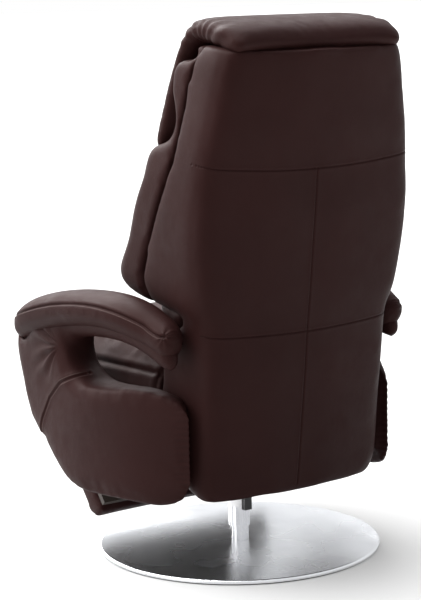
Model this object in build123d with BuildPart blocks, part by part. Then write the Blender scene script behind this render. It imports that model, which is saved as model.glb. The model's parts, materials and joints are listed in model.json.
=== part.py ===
from build123d import *
import os
from math import cos, radians, sin

# Recliner armchair on a round swivel base. Millimetres, +Z up, the chair faces -Y, +X is the
# sitter's left. The origin is the centre of the floor pad's underside.

os.makedirs("parts", exist_ok=True)

# ---- driving dimensions ------------------------------------------------------------------

# round base
BASE_RADIUS = 300
PAD_HEIGHT = 3
COVER_TOP = 10
COVER_SHEET = 1
RIM_RADIUS = 5

# swivel column
TUBE_RADIUS = 20
TUBE_WALL = 3
TUBE_TOP = 225
SLEEVE_RADIUS = 23
SLEEVE_BOTTOM = 42
SLEEVE_TOP = 235
RUNNING_FIT = 0.05

# seat chassis
PLATE_TOP = SLEEVE_TOP + 8
BEAM_TOP = PLATE_TOP + 30
RAIL_TOP = BEAM_TOP + 40
RAIL_X = 190
RAIL_WIDTH = 20
SEAT_FRAME_TOP = RAIL_TOP + 20
CUSHION_BOTTOM = SEAT_FRAME_TOP + 2
CUSHION_TOP = 452
SEAT_FRONT = -446
SEAT_REAR = 44

# recline hinge and gas spring
RECLINE_Y = 130
RECLINE_Z = 297
PIN_RADIUS = 6
GAS_X = 70
GAS_ARM = 95
GAS_START = 71
GAS_Y = RECLINE_Y + GAS_ARM * cos(radians(GAS_START))
GAS_Z = RECLINE_Z - GAS_ARM * sin(radians(GAS_START))

# back: a frame of its own, leaning backwards; n runs to the rear, h runs up the back
BACK_FOOT_Y = 200
BACK_FOOT_Z = 162
BACK_LEAN = 7.2
TAIL_THICKNESS = 60
WING_FOOT = 370

# head part, in the back's own frame
HEAD_PIVOT_N = -181
HEAD_PIVOT_H = 712

# arms
ARM_INNER_X = 246
ARM_TOE = 0.054
ARM_BOARD = 14

# footrest, folded under the seat front; e runs down the pad, d runs out through its face
FOOT_PIVOT_Y = -395
FOOT_PIVOT_Z = 303
FOOT_LEAN = 50.5
FOOT_START = 14
FOOT_END = 306
FOOT_BACK = -27
FOOT_FACE = 28
FOOT_HALF_WIDTH = 228
BOARD_THICKNESS = 12


def save(builder, name):
    builder.part.label = name
    export_step(builder.part, f"parts/{name}.step")


def save_mirrored(left, name):
    with BuildPart() as right:
        mirror(left.part, about=Plane.YZ)
    save(right, name)


def back_plane(height):
    lean = radians(BACK_LEAN)
    foot = Vector(0, BACK_FOOT_Y, BACK_FOOT_Z)
    up = Vector(0, sin(lean), cos(lean))
    return Plane(origin=foot + up * height, x_dir=(1, 0, 0), z_dir=up)


def back_point(across, rearward, height):
    return back_plane(height).from_local_coords(Vector(across, rearward, 0))


def plane_facing_x(x, y=0, z=0):
    # local x runs along +Y and local y runs along +Z
    return Plane(origin=(x, y, z), x_dir=(0, 1, 0), z_dir=(1, 0, 0))


# ---- round base ----------------------------------------------------------------------------

FLANGE_RADIUS = 55
FLANGE_HEIGHT = 4
FLANGE_CLEARANCE = 0.5
PLATE_RADIUS = BASE_RADIUS - COVER_SHEET - 1
PLATE_SURFACE = COVER_TOP - COVER_SHEET
COVER_HOLE = TUBE_RADIUS + 0.3
PAD_SETBACK = 4
FOOT_SCREWS = 4
FOOT_SCREW_CIRCLE = 38
FOOT_SCREW_RADIUS = 4
SCREW_CLEARANCE = 0.2

with BuildPart() as floor_pad:
    Cylinder(BASE_RADIUS - PAD_SETBACK, PAD_HEIGHT, align=(Align.CENTER, Align.CENTER, Align.MIN))
save(floor_pad, "floor_pad")

with BuildPart() as weight_plate:
    with BuildSketch(Plane.XY.offset(PAD_HEIGHT)):
        Circle(PLATE_RADIUS)
    extrude(amount=PLATE_SURFACE - PAD_HEIGHT)
    chamfer(weight_plate.edges().group_by(Axis.Z)[-1], RIM_RADIUS - COVER_SHEET)
    with BuildSketch(Plane.XY.offset(PLATE_SURFACE)):
        Circle(FLANGE_RADIUS + FLANGE_CLEARANCE)
    extrude(amount=-FLANGE_HEIGHT, mode=Mode.SUBTRACT)
save(weight_plate, "weight_plate")

with BuildPart() as base_cover:
    with BuildSketch(Plane.XZ):
        with BuildLine():
            Line((COVER_HOLE, PLATE_SURFACE), (COVER_HOLE, COVER_TOP))
            Line((COVER_HOLE, COVER_TOP), (BASE_RADIUS - RIM_RADIUS, COVER_TOP))
            CenterArc((BASE_RADIUS - RIM_RADIUS, COVER_TOP - RIM_RADIUS), RIM_RADIUS, 0, 90)
            Line((BASE_RADIUS, COVER_TOP - RIM_RADIUS), (BASE_RADIUS, PAD_HEIGHT))
            Line((BASE_RADIUS, PAD_HEIGHT), (BASE_RADIUS - COVER_SHEET, PAD_HEIGHT))
            Line((BASE_RADIUS - COVER_SHEET, PAD_HEIGHT), (BASE_RADIUS - COVER_SHEET, COVER_TOP - RIM_RADIUS))
            CenterArc((BASE_RADIUS - RIM_RADIUS, COVER_TOP - RIM_RADIUS), RIM_RADIUS - COVER_SHEET, 0, 90)
            Line((BASE_RADIUS - RIM_RADIUS, PLATE_SURFACE), (COVER_HOLE, PLATE_SURFACE))
        make_face()
    revolve(axis=Axis.Z)
save(base_cover, "base_cover")

with BuildPart() as column_tube:
    with BuildSketch(Plane.XY.offset(PLATE_SURFACE - FLANGE_HEIGHT)):
        Circle(FLANGE_RADIUS)
        with PolarLocations(FOOT_SCREW_CIRCLE, FOOT_SCREWS):
            Circle(FOOT_SCREW_RADIUS + SCREW_CLEARANCE, mode=Mode.SUBTRACT)
    extrude(amount=FLANGE_HEIGHT)
    with BuildSketch(Plane.XY.offset(PLATE_SURFACE)):
        Circle(TUBE_RADIUS)
    extrude(amount=TUBE_TOP - PLATE_SURFACE)
    with BuildSketch(Plane.XY.offset(PLATE_SURFACE)):
        Circle(TUBE_RADIUS - TUBE_WALL)
    extrude(amount=TUBE_TOP - PLATE_SURFACE, mode=Mode.SUBTRACT)
save(column_tube, "column_tube")

with BuildPart() as foot_screws:
    with BuildSketch(Plane.XY.offset(PLATE_SURFACE - FLANGE_HEIGHT)):
        with PolarLocations(FOOT_SCREW_CIRCLE, FOOT_SCREWS):
            Circle(FOOT_SCREW_RADIUS)
    extrude(amount=FLANGE_HEIGHT)
save(foot_screws, "foot_screws")

PLUG_DEPTH = 30
BOLT_RADIUS = 5
BOLT_ENTRY = 4

with BuildPart() as tube_plug:
    with BuildSketch(Plane.XY.offset(TUBE_TOP - PLUG_DEPTH)):
        Circle(TUBE_RADIUS - TUBE_WALL)
        Circle(BOLT_RADIUS, mode=Mode.SUBTRACT)
    extrude(amount=PLUG_DEPTH)
save(tube_plug, "tube_plug")

WASHER_THICKNESS = 2.9
WASHER_BORE = BOLT_RADIUS + 2

with BuildPart() as thrust_washer:
    with BuildSketch(Plane.XY.offset(TUBE_TOP)):
        Circle(TUBE_RADIUS - 1)
        Circle(WASHER_BORE, mode=Mode.SUBTRACT)
    extrude(amount=WASHER_THICKNESS)
save(thrust_washer, "thrust_washer")

BOLT_HEAD_RADIUS = 9
BOLT_HEAD_HEIGHT = 6
BOLT_FOOT = TUBE_TOP - PLUG_DEPTH + BOLT_ENTRY
BOLT_SHOULDER = SLEEVE_TOP + 0.3

with BuildPart() as retaining_bolt:
    with BuildSketch(Plane.XY.offset(BOLT_FOOT)):
        Circle(BOLT_RADIUS)
    extrude(amount=BOLT_SHOULDER - BOLT_FOOT)
    with BuildSketch(Plane.XY.offset(BOLT_SHOULDER)):
        RegularPolygon(BOLT_HEAD_RADIUS, 6)
    extrude(amount=BOLT_HEAD_HEIGHT)
save(retaining_bolt, "retaining_bolt")

# ---- swivelling chassis ----------------------------------------------------------------------

SLEEVE_FLANGE = 60
SLEEVE_FLANGE_BOTTOM = SLEEVE_TOP - 6
FLANGE_BOLTS = 4
FLANGE_BOLT_CIRCLE = 45
FLANGE_BOLT_RADIUS = 4
FLANGE_BOLT_HOLE = FLANGE_BOLT_RADIUS + 0.25
SLEEVE_CEILING = TUBE_TOP + 3
CENTRE_BOLT_HOLE = BOLT_RADIUS + 0.5

with BuildPart() as swivel_sleeve:
    with BuildSketch(Plane.XY.offset(SLEEVE_BOTTOM)):
        Circle(SLEEVE_RADIUS)
    extrude(amount=SLEEVE_TOP - SLEEVE_BOTTOM)
    with BuildSketch(Plane.XY.offset(SLEEVE_FLANGE_BOTTOM)):
        Circle(SLEEVE_FLANGE)
    extrude(amount=SLEEVE_TOP - SLEEVE_FLANGE_BOTTOM)
    with BuildSketch(Plane.XY.offset(SLEEVE_BOTTOM)):
        Circle(TUBE_RADIUS + RUNNING_FIT)
    extrude(amount=SLEEVE_CEILING - SLEEVE_BOTTOM, mode=Mode.SUBTRACT)
    with BuildSketch(Plane.XY.offset(SLEEVE_BOTTOM)):
        Circle(CENTRE_BOLT_HOLE)
        with PolarLocations(FLANGE_BOLT_CIRCLE, FLANGE_BOLTS, start_angle=45):
            Circle(FLANGE_BOLT_HOLE)
    extrude(amount=SLEEVE_TOP - SLEEVE_BOTTOM, mode=Mode.SUBTRACT)
save(swivel_sleeve, "swivel_sleeve")

BRAKE_BOTTOM = 80
BRAKE_HEIGHT = 50
BRAKE_WIDTH = 18
BRAKE_DEPTH = 15
BRAKE_PLACE = (-1, SLEEVE_RADIUS + 3)

with BuildPart() as brake_block:
    with BuildSketch(Plane.XY.offset(BRAKE_BOTTOM)):
        with Locations(BRAKE_PLACE):
            Rectangle(BRAKE_WIDTH, BRAKE_DEPTH)
        Circle(SLEEVE_RADIUS, mode=Mode.SUBTRACT)
    extrude(amount=BRAKE_HEIGHT)
save(brake_block, "brake_block")

MOUNT_FRONT = -265
MOUNT_REAR = 36
MOUNT_HALF_WIDTH = 62
MOUNT_CORNER = 12
BOLT_HEAD_HOLE = BOLT_HEAD_RADIUS + 2

with BuildPart() as mounting_plate:
    with BuildSketch(Plane.XY.offset(SLEEVE_TOP)):
        with Locations((0, (MOUNT_FRONT + MOUNT_REAR) / 2)):
            RectangleRounded(2 * MOUNT_HALF_WIDTH, MOUNT_REAR - MOUNT_FRONT, MOUNT_CORNER)
        Circle(BOLT_HEAD_HOLE, mode=Mode.SUBTRACT)
        with PolarLocations(FLANGE_BOLT_CIRCLE, FLANGE_BOLTS, start_angle=45):
            Circle(FLANGE_BOLT_HOLE, mode=Mode.SUBTRACT)
    extrude(amount=PLATE_TOP - SLEEVE_TOP)
save(mounting_plate, "mounting_plate")

FLANGE_BOLT_HEAD = 7
FLANGE_BOLT_HEAD_HEIGHT = 5

with BuildPart() as flange_bolts:
    with BuildSketch(Plane.XY.offset(SLEEVE_FLANGE_BOTTOM)):
        with PolarLocations(FLANGE_BOLT_CIRCLE, FLANGE_BOLTS, start_angle=45):
            Circle(FLANGE_BOLT_RADIUS)
    extrude(amount=PLATE_TOP - SLEEVE_FLANGE_BOTTOM)
    with BuildSketch(Plane.XY.offset(SLEEVE_FLANGE_BOTTOM)):
        with PolarLocations(FLANGE_BOLT_CIRCLE, FLANGE_BOLTS, start_angle=45):
            RegularPolygon(FLANGE_BOLT_HEAD, 6)
    extrude(amount=-FLANGE_BOLT_HEAD_HEIGHT)
save(flange_bolts, "flange_bolts")

BEAM_WIDTH = 30
BEAM_WALL = 2
BEAM_HALF_LENGTH = RAIL_X + RAIL_WIDTH / 2
FRONT_BEAM_Y = MOUNT_FRONT + 20
REAR_BEAM_Y = MOUNT_REAR - 1 - BEAM_WIDTH / 2

for beam_name, beam_y in (("front_beam", FRONT_BEAM_Y), ("rear_beam", REAR_BEAM_Y)):
    with BuildPart() as beam:
        with BuildSketch(plane_facing_x(-BEAM_HALF_LENGTH)):
            with Locations((beam_y, (PLATE_TOP + BEAM_TOP) / 2)):
                Rectangle(BEAM_WIDTH, BEAM_TOP - PLATE_TOP)
                Rectangle(
                    BEAM_WIDTH - 2 * BEAM_WALL,
                    BEAM_TOP - PLATE_TOP - 2 * BEAM_WALL,
                    mode=Mode.SUBTRACT,
                )
        extrude(amount=2 * BEAM_HALF_LENGTH)
    save(beam, beam_name)

RAIL_FRONT = -326
RAIL_EYE_RADIUS = RAIL_TOP - RECLINE_Z

with BuildPart() as seat_rail_left:
    with BuildSketch(plane_facing_x(RAIL_X - RAIL_WIDTH / 2)):
        # the lower rear corner is cut away, so that the back frame can swing past it
        Polygon(
            (RAIL_FRONT, BEAM_TOP),
            (RECLINE_Y - 6, BEAM_TOP),
            (RECLINE_Y + 11, RECLINE_Z - 12),
            (RECLINE_Y, RAIL_TOP),
            (RAIL_FRONT, RAIL_TOP),
            align=None,
        )
        with Locations((RECLINE_Y, RECLINE_Z)):
            Circle(RAIL_EYE_RADIUS)
            Circle(PIN_RADIUS, mode=Mode.SUBTRACT)
    extrude(amount=RAIL_WIDTH)
save(seat_rail_left, "seat_rail_left")
save_mirrored(seat_rail_left, "seat_rail_right")

RECLINE_GAP = 2
RECLINE_ARM_X = RAIL_X + RAIL_WIDTH / 2 + RECLINE_GAP
RECLINE_ARM_THICKNESS = 6
PIN_START = RAIL_X - RAIL_WIDTH / 2 - 4
PIN_END = RECLINE_ARM_X + RECLINE_ARM_THICKNESS + 1

with BuildPart() as recline_pins:
    with BuildSketch(plane_facing_x(PIN_START, RECLINE_Y, RECLINE_Z)):
        Circle(PIN_RADIUS)
    extrude(amount=PIN_END - PIN_START)
    mirror(about=Plane.YZ)
save(recline_pins, "recline_pins")

# ---- gas spring -------------------------------------------------------------------------------

CYLINDER_RADIUS = 14
CYLINDER_BORE = 11
CYLINDER_FRONT = -245
CYLINDER_REAR = -30
CYLINDER_CAP = 6
ROD_RADIUS = 4
GAS_STROKE = 2 * GAS_ARM * cos(radians(GAS_START))

with BuildPart() as gas_cylinder:
    with BuildSketch(Plane(origin=(GAS_X, CYLINDER_FRONT, GAS_Z), z_dir=(0, 1, 0))):
        Circle(CYLINDER_RADIUS)
    extrude(amount=CYLINDER_REAR - CYLINDER_FRONT)
    with BuildSketch(Plane(origin=(GAS_X, CYLINDER_FRONT + CYLINDER_CAP, GAS_Z), z_dir=(0, 1, 0))):
        Circle(CYLINDER_BORE)
    extrude(amount=CYLINDER_REAR - CYLINDER_FRONT - 2 * CYLINDER_CAP, mode=Mode.SUBTRACT)
    with BuildSketch(Plane(origin=(GAS_X, CYLINDER_REAR, GAS_Z), z_dir=(0, 1, 0))):
        Circle(ROD_RADIUS + RUNNING_FIT)
    extrude(amount=-CYLINDER_CAP, mode=Mode.SUBTRACT)
save(gas_cylinder, "gas_cylinder")

GAS_BRACKET_X = GAS_X - 12
GAS_BRACKET_WIDTH = 44
GAS_BRACKET_BOTTOM = GAS_Z - 12
GAS_BRACKET_THICKNESS = 8

with BuildPart() as gas_bracket:
    with BuildSketch(Plane.XZ.offset(-CYLINDER_FRONT)):
        with Locations((GAS_BRACKET_X, (GAS_BRACKET_BOTTOM + SLEEVE_TOP) / 2)):
            Rectangle(GAS_BRACKET_WIDTH, SLEEVE_TOP - GAS_BRACKET_BOTTOM)
    extrude(amount=GAS_BRACKET_THICKNESS)
save(gas_bracket, "gas_bracket")

PISTON_MARGIN = 6
PISTON_THICKNESS = 10
ROD_FRONT = CYLINDER_FRONT + CYLINDER_CAP + GAS_STROKE + PISTON_MARGIN
EYE_HALF_WIDTH = 11
EYE_THICKNESS = 8
EYE_CORNER = 6
GAS_PIN_RADIUS = 5
SLOT_RADIUS = GAS_PIN_RADIUS + 0.7
EYE_SAG = GAS_ARM * (1 - sin(radians(GAS_START)))

with BuildPart() as gas_rod:
    with BuildSketch(Plane(origin=(GAS_X, ROD_FRONT, GAS_Z), z_dir=(0, 1, 0))):
        Circle(ROD_RADIUS)
    extrude(amount=GAS_Y - EYE_HALF_WIDTH + 1 - ROD_FRONT)
    with BuildSketch(Plane(origin=(GAS_X, ROD_FRONT, GAS_Z), z_dir=(0, 1, 0))):
        Circle(CYLINDER_BORE - RUNNING_FIT)
    extrude(amount=PISTON_THICKNESS)
    with BuildSketch(plane_facing_x(GAS_X - EYE_THICKNESS / 2, GAS_Y, GAS_Z - EYE_SAG / 2)):
        RectangleRounded(2 * EYE_HALF_WIDTH, EYE_SAG + 2 * EYE_HALF_WIDTH, EYE_CORNER)
    extrude(amount=EYE_THICKNESS)
    with BuildSketch(plane_facing_x(GAS_X - EYE_THICKNESS / 2, GAS_Y, GAS_Z - EYE_SAG / 2)):
        RectangleRounded(2 * SLOT_RADIUS, EYE_SAG + 2 * SLOT_RADIUS, GAS_PIN_RADIUS)
    extrude(amount=EYE_THICKNESS, mode=Mode.SUBTRACT)
save(gas_rod, "gas_rod")

# ---- seat ---------------------------------------------------------------------------------------

SEAT_HALF_REAR = 228
SEAT_HALF_FRONT = 244
FRAME_BORDER = 50


def seat_outline(inset, front, rear):
    # a trapezium, wider at the front, kept inside the arms
    Polygon(
        (-(SEAT_HALF_FRONT - inset), front),
        (SEAT_HALF_FRONT - inset, front),
        (SEAT_HALF_REAR - inset, rear),
        (-(SEAT_HALF_REAR - inset), rear),
        align=None,
    )


SEAT_FRAME_FRONT = -352

with BuildPart() as seat_frame:
    with BuildSketch(Plane.XY.offset(RAIL_TOP)):
        seat_outline(6, SEAT_FRAME_FRONT, SEAT_REAR - 4)
    extrude(amount=SEAT_FRAME_TOP - RAIL_TOP)
    with BuildSketch(Plane.XY.offset(RAIL_TOP)):
        seat_outline(FRAME_BORDER, SEAT_FRAME_FRONT + FRAME_BORDER, SEAT_REAR - FRAME_BORDER)
    extrude(amount=SEAT_FRAME_TOP - RAIL_TOP, mode=Mode.SUBTRACT)
save(seat_frame, "seat_frame")

SPRING_WIRE = 1.8
SPRING_COUNT = 4
SPRING_PITCH = 85
SPRING_SWING = 26
SPRING_LOOPS = 8
SPRING_FRONT = SEAT_FRAME_FRONT + FRAME_BORDER + 3
SPRING_REAR = SEAT_REAR - FRAME_BORDER - 3
SPRING_Z = RAIL_TOP + 12


def zigzag_points(x):
    # a flat zigzag along Y: straight arms joined by tight bends
    step = (SPRING_REAR - SPRING_FRONT) / SPRING_LOOPS
    points = [(x, SPRING_FRONT, SPRING_Z)]
    for loop in range(SPRING_LOOPS):
        side = SPRING_SWING if loop % 2 == 0 else -SPRING_SWING
        points.append((x + side, SPRING_FRONT + step * (loop + 0.2), SPRING_Z))
        points.append((x + side, SPRING_FRONT + step * (loop + 0.8), SPRING_Z))
    points.append((x, SPRING_REAR, SPRING_Z))
    return points


with BuildPart() as zigzag_springs:
    for number in range(SPRING_COUNT):
        spring_x = (number - (SPRING_COUNT - 1) / 2) * SPRING_PITCH
        with BuildLine() as spring_path:
            FilletPolyline(*zigzag_points(spring_x), radius=7)
        with BuildSketch(Plane(origin=spring_path.line @ 0, z_dir=spring_path.line % 0)):
            Circle(SPRING_WIRE)
        sweep(path=spring_path.line)
save(zigzag_springs, "zigzag_springs")

with BuildPart() as dust_cover:
    with BuildSketch(Plane.XY.offset(RAIL_TOP - 1)):
        with Locations((0, (SEAT_FRAME_FRONT + SEAT_REAR) / 2)):
            Rectangle(2 * (RAIL_X - RAIL_WIDTH / 2) - 4, SEAT_REAR - SEAT_FRAME_FRONT - 30)
    extrude(amount=0.9)
save(dust_cover, "dust_cover")

with BuildPart() as seat_cushion:
    with BuildSketch(Plane.XY.offset(CUSHION_BOTTOM)):
        seat_outline(6, SEAT_FRONT + 10, SEAT_REAR - 2)
    with BuildSketch(Plane.XY.offset(CUSHION_BOTTOM + 25)):
        seat_outline(0, SEAT_FRONT, SEAT_REAR)
    with BuildSketch(Plane.XY.offset(CUSHION_TOP - 50)):
        seat_outline(0, SEAT_FRONT, SEAT_REAR)
    with BuildSketch(Plane.XY.offset(CUSHION_TOP)):
        seat_outline(46, SEAT_FRONT + 40, SEAT_REAR - 24)
    loft(ruled=True)
save(seat_cushion, "seat_cushion")

# ---- arms ---------------------------------------------------------------------------------------


def arm_inner(y):
    return ARM_INNER_X - ARM_TOE * y


# arm pad sections from the front tip to the rear tip: y, centre x, centre z, half width, half height
PAD_SECTIONS = (
    (-337, 318, 462, 10, 12),
    (-325, 318, 471, 31, 30),
    (-290, 318, 488, 49, 38),
    (-200, 315, 518, 56, 38),
    (-100, 309, 537, 56, 36),
    (0, 300, 543, 54, 35),
    (80, 289, 533, 47, 36),
    (140, 278, 510, 38, 36),
    (180, 276, 491, 29, 30),
    (199, 275, 482, 10, 12),
)

ARM_ROOT = Plane(
    origin=(ARM_INNER_X, 0, 0),
    x_dir=Vector(-ARM_TOE, 1, 0),
    z_dir=Vector(1, ARM_TOE, 0),
)


def pad_section(y, x, z, half_width, half_height):
    with BuildSketch(Plane(origin=(x, y, z), x_dir=(1, 0, 0), z_dir=(0, 1, 0))) as section:
        Ellipse(half_width, half_height)
    return section.sketch


def arm_board_outline():
    # a C lying open to the rear: lower panel, front post and the rail under the pad
    Polygon(
        (172, 200),
        (172, 365),
        (150, 380),
        (-110, 388),
        (-152, 420),
        (-152, 478),
        (-130, 500),
        (100, 500),
        (130, 505),
        (100, 528),
        (0, 540),
        (-180, 528),
        (-290, 490),
        (-300, 460),
        (-285, 320),
        (-200, 215),
        (-120, 170),
        (60, 166),
        align=None,
    )


with BuildPart() as arm_frame_left:
    with BuildSketch(ARM_ROOT):
        arm_board_outline()
    extrude(amount=ARM_BOARD)
save(arm_frame_left, "arm_frame_left")
save_mirrored(arm_frame_left, "arm_frame_right")

with BuildPart() as arm_pad_left:
    loft([pad_section(*row) for row in PAD_SECTIONS])
    with BuildSketch(ARM_ROOT):
        arm_board_outline()
    extrude(amount=ARM_BOARD, both=True, mode=Mode.SUBTRACT)
save(arm_pad_left, "arm_pad_left")
save_mirrored(arm_pad_left, "arm_pad_right")

ARM_CUT_START = ARM_INNER_X - 20
ARM_CUT_DEPTH = 170
ARM_PLAN_FOOT = 100
ARM_PLAN_HEIGHT = 500


def side_outline():
    with BuildLine() as edge:
        Spline(
            (-96, 394), (60, 391), (150, 383), (196, 355), (208, 294), (203, 215), (165, 166),
            (67, 155), (-64, 153), (-130, 162), (-188, 191), (-226, 224), (-240, 250),
        )
        ThreePointArc((-240, 250), (-186, 337), (-96, 394))
    make_face(edge.edges())


def post_outline():
    with BuildLine() as edge:
        ThreePointArc((-100, 395), (-188, 339), (-242, 252))
        Line((-242, 252), (-250, 243))
        Spline((-250, 243), (-276, 268), (-304, 305), (-326, 360), (-340, 400), (-348, 440), (-342, 462))
        Line((-342, 462), (-325, 500))
        Line((-325, 500), (-160, 530))
        Line((-160, 530), (-150, 480))
        Line((-150, 480), (-100, 395))
    make_face(edge.edges())


def arm_plan():
    # seen from above: slim at the rear, full in the middle, rounded at the front
    with BuildLine() as edge:
        Line((arm_inner(200) + ARM_BOARD + 1, 200), (arm_inner(-400) + ARM_BOARD + 1, -400))
        Line((arm_inner(-400) + ARM_BOARD + 1, -400), (300, -400))
        Spline(
            (300, -400), (334, -350), (342, -290), (346, -200), (346, -100), (334, 0), (308, 90),
            (271, 165), (251, 200),
        )
        Line((251, 200), (arm_inner(200) + ARM_BOARD + 1, 200))
    make_face(edge.edges())


with BuildPart() as side_panel_left:
    with BuildSketch(plane_facing_x(ARM_CUT_START)):
        side_outline()
    extrude(amount=ARM_CUT_DEPTH)
    with BuildSketch(Plane.XY.offset(ARM_PLAN_FOOT)):
        arm_plan()
    extrude(amount=ARM_PLAN_HEIGHT, mode=Mode.INTERSECT)
save(side_panel_left, "side_panel_left")
save_mirrored(side_panel_left, "side_panel_right")

with BuildPart() as pad_space:
    loft([pad_section(*row) for row in PAD_SECTIONS])

with BuildPart() as arm_post_left:
    with BuildSketch(plane_facing_x(ARM_CUT_START)):
        post_outline()
    extrude(amount=ARM_CUT_DEPTH)
    with BuildSketch(Plane.XY.offset(ARM_PLAN_FOOT)):
        arm_plan()
    extrude(amount=ARM_PLAN_HEIGHT, mode=Mode.INTERSECT)
    add(pad_space.part, mode=Mode.SUBTRACT)
save(arm_post_left, "arm_post_left")
save_mirrored(arm_post_left, "arm_post_right")

# ---- back -------------------------------------------------------------------------------------

# sections of the rear shell, from its foot upwards: height, half width, front edge
TAIL_SECTIONS = (
    (0, 200, -46),
    (14, 218, -56),
    (50, 227, -TAIL_THICKNESS),
    (130, 227, -TAIL_THICKNESS),
    (190, 226, -66),
    (250, 227, -90),
    (310, 229, -100),
    (WING_FOOT, 231, -104),
)
WING_SECTIONS = (
    (WING_FOOT + 2, 234, -196),
    (392, 244, -217),
    (430, 251, -221),
    (480, 257, -202),
    (540, 261, -179),
    (606, 261, -153),
    (670, 255, -132),
    (750, 243, -124),
    (838, 226, -124),
    (894, 213, -112),
    (917, 198, -98),
)
SHELL_CROWN = 20
SHELL_CORNER = 34


def local_rear(corner, height):
    return back_plane(height).to_local_coords(corner).Y


def shell_section(height, half_width, front):
    with BuildSketch(back_plane(height)) as section:
        with BuildLine():
            ThreePointArc((-half_width, -SHELL_CROWN), (0, 0), (half_width, -SHELL_CROWN))
            Line((half_width, -SHELL_CROWN), (half_width, front))
            Line((half_width, front), (-half_width, front))
            Line((-half_width, front), (-half_width, -SHELL_CROWN))
        make_face()
        corners = section.vertices().filter_by(lambda corner: local_rear(corner, height) > front / 2)
        fillet(corners, min(SHELL_CORNER, -front - SHELL_CROWN - 4))
    return section.sketch


def back_box(half_width, front, rear, low, high, mode=Mode.ADD, middle=0):
    with BuildSketch(back_plane(low)) as section:
        with Locations((middle, (front + rear) / 2)):
            Rectangle(2 * half_width, rear - front)
    extrude(section.sketch, amount=high - low, mode=mode)


ROLL_HALF_WIDTH = 200
ROLL_SECTIONS = (
    (-ROLL_HALF_WIDTH, 12, 10),
    (-ROLL_HALF_WIDTH + 12, 66, 20),
    (-ROLL_HALF_WIDTH + 45, 86, 23),
    (ROLL_HALF_WIDTH - 45, 86, 23),
    (ROLL_HALF_WIDTH - 12, 66, 20),
    (ROLL_HALF_WIDTH, 12, 10),
)
ROLL_N = -102
ROLL_H = 925
ROLL_CLEARANCE = 1.5


def roll_section(across, half_depth, half_height, clearance=0):
    centre = back_point(across, ROLL_N, ROLL_H)
    with BuildSketch(Plane(origin=centre, x_dir=back_plane(0).y_dir, z_dir=(1, 0, 0))) as section:
        Ellipse(half_depth + clearance, half_height + clearance)
    return section.sketch


# the room that the head roll takes at the top of the back
with BuildPart() as roll_space:
    loft([roll_section(1.01 * row[0], row[1], row[2], ROLL_CLEARANCE) for row in ROLL_SECTIONS])

CUT_FRONT = -300
POCKET_REAR = -26
POCKET_HALF_WIDTH = 172
POCKET_TOP = 872
TAIL_POCKET_HALF_WIDTH = 214
TAIL_POCKET_LOW = 96
TAIL_POCKET_HIGH = 160
LUG_SLOT_HALF_WIDTH = 24
FRAME_FRONT = -68
FRAME_REAR = -44

with BuildPart() as back_tail:
    loft([shell_section(*row) for row in TAIL_SECTIONS])
    back_box(
        TAIL_POCKET_HALF_WIDTH, CUT_FRONT, POCKET_REAR, TAIL_POCKET_LOW, TAIL_POCKET_HIGH, Mode.SUBTRACT
    )
    back_box(POCKET_HALF_WIDTH, CUT_FRONT, POCKET_REAR, TAIL_POCKET_LOW, WING_FOOT + 1, Mode.SUBTRACT)
    # a slot down to the foot, for the gas spring's rod
    back_box(LUG_SLOT_HALF_WIDTH, CUT_FRONT, POCKET_REAR, -10, TAIL_POCKET_LOW + 4, Mode.SUBTRACT, GAS_X)
save(back_tail, "back_tail")

with BuildPart() as back_shell:
    loft([shell_section(*row) for row in WING_SECTIONS])
    back_box(POCKET_HALF_WIDTH, CUT_FRONT, POCKET_REAR, WING_FOOT - 10, POCKET_TOP, Mode.SUBTRACT)
    add(roll_space.part, mode=Mode.SUBTRACT)
save(back_shell, "back_shell")

# the welded back frame sits in the shell's pocket
UPRIGHT_X = 150
UPRIGHT_WIDTH = 25
FRAME_LOW = 104
FRAME_HIGH = 850
CROSS_HEIGHT = 26
CROSS_HEIGHTS = (450, FRAME_HIGH - CROSS_HEIGHT - 125, FRAME_HIGH - CROSS_HEIGHT)

with BuildPart() as back_frame:
    for side in (-1, 1):
        middle = side * UPRIGHT_X
        back_box(UPRIGHT_WIDTH / 2, FRAME_FRONT, FRAME_REAR, FRAME_LOW, FRAME_HIGH, Mode.ADD, middle)
    for low in CROSS_HEIGHTS:
        back_box(UPRIGHT_X, FRAME_FRONT, FRAME_REAR, low, low + CROSS_HEIGHT)
    back_box(RECLINE_ARM_X - 0.5, FRAME_FRONT, FRAME_REAR, FRAME_LOW, FRAME_LOW + CROSS_HEIGHT)
save(back_frame, "back_frame")

RECLINE_EYE_RADIUS = 17

with BuildPart() as recline_arm_left:
    with BuildSketch(plane_facing_x(RECLINE_ARM_X)):
        with Locations((RECLINE_Y, RECLINE_Z)):
            Circle(RECLINE_EYE_RADIUS)
        with BuildLine():
            FRAME_FOOT = back_point(0, FRAME_REAR, FRAME_LOW)
            FRAME_HEAD = back_point(0, FRAME_REAR, FRAME_LOW + CROSS_HEIGHT)
            Polyline(
                (RECLINE_Y, RECLINE_Z + RECLINE_EYE_RADIUS),
                (FRAME_HEAD.Y, FRAME_HEAD.Z),
                (FRAME_FOOT.Y, FRAME_FOOT.Z),
                (RECLINE_Y, RECLINE_Z - RECLINE_EYE_RADIUS),
                close=True,
            )
        make_face()
        with Locations((RECLINE_Y, RECLINE_Z)):
            Circle(PIN_RADIUS + RUNNING_FIT, mode=Mode.SUBTRACT)
    extrude(amount=RECLINE_ARM_THICKNESS)
save(recline_arm_left, "recline_arm_left")
save_mirrored(recline_arm_left, "recline_arm_right")

LUG_THICKNESS = 4
LUG_GAP = EYE_THICKNESS / 2 + 2
LUG_RADIUS = 10

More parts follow.
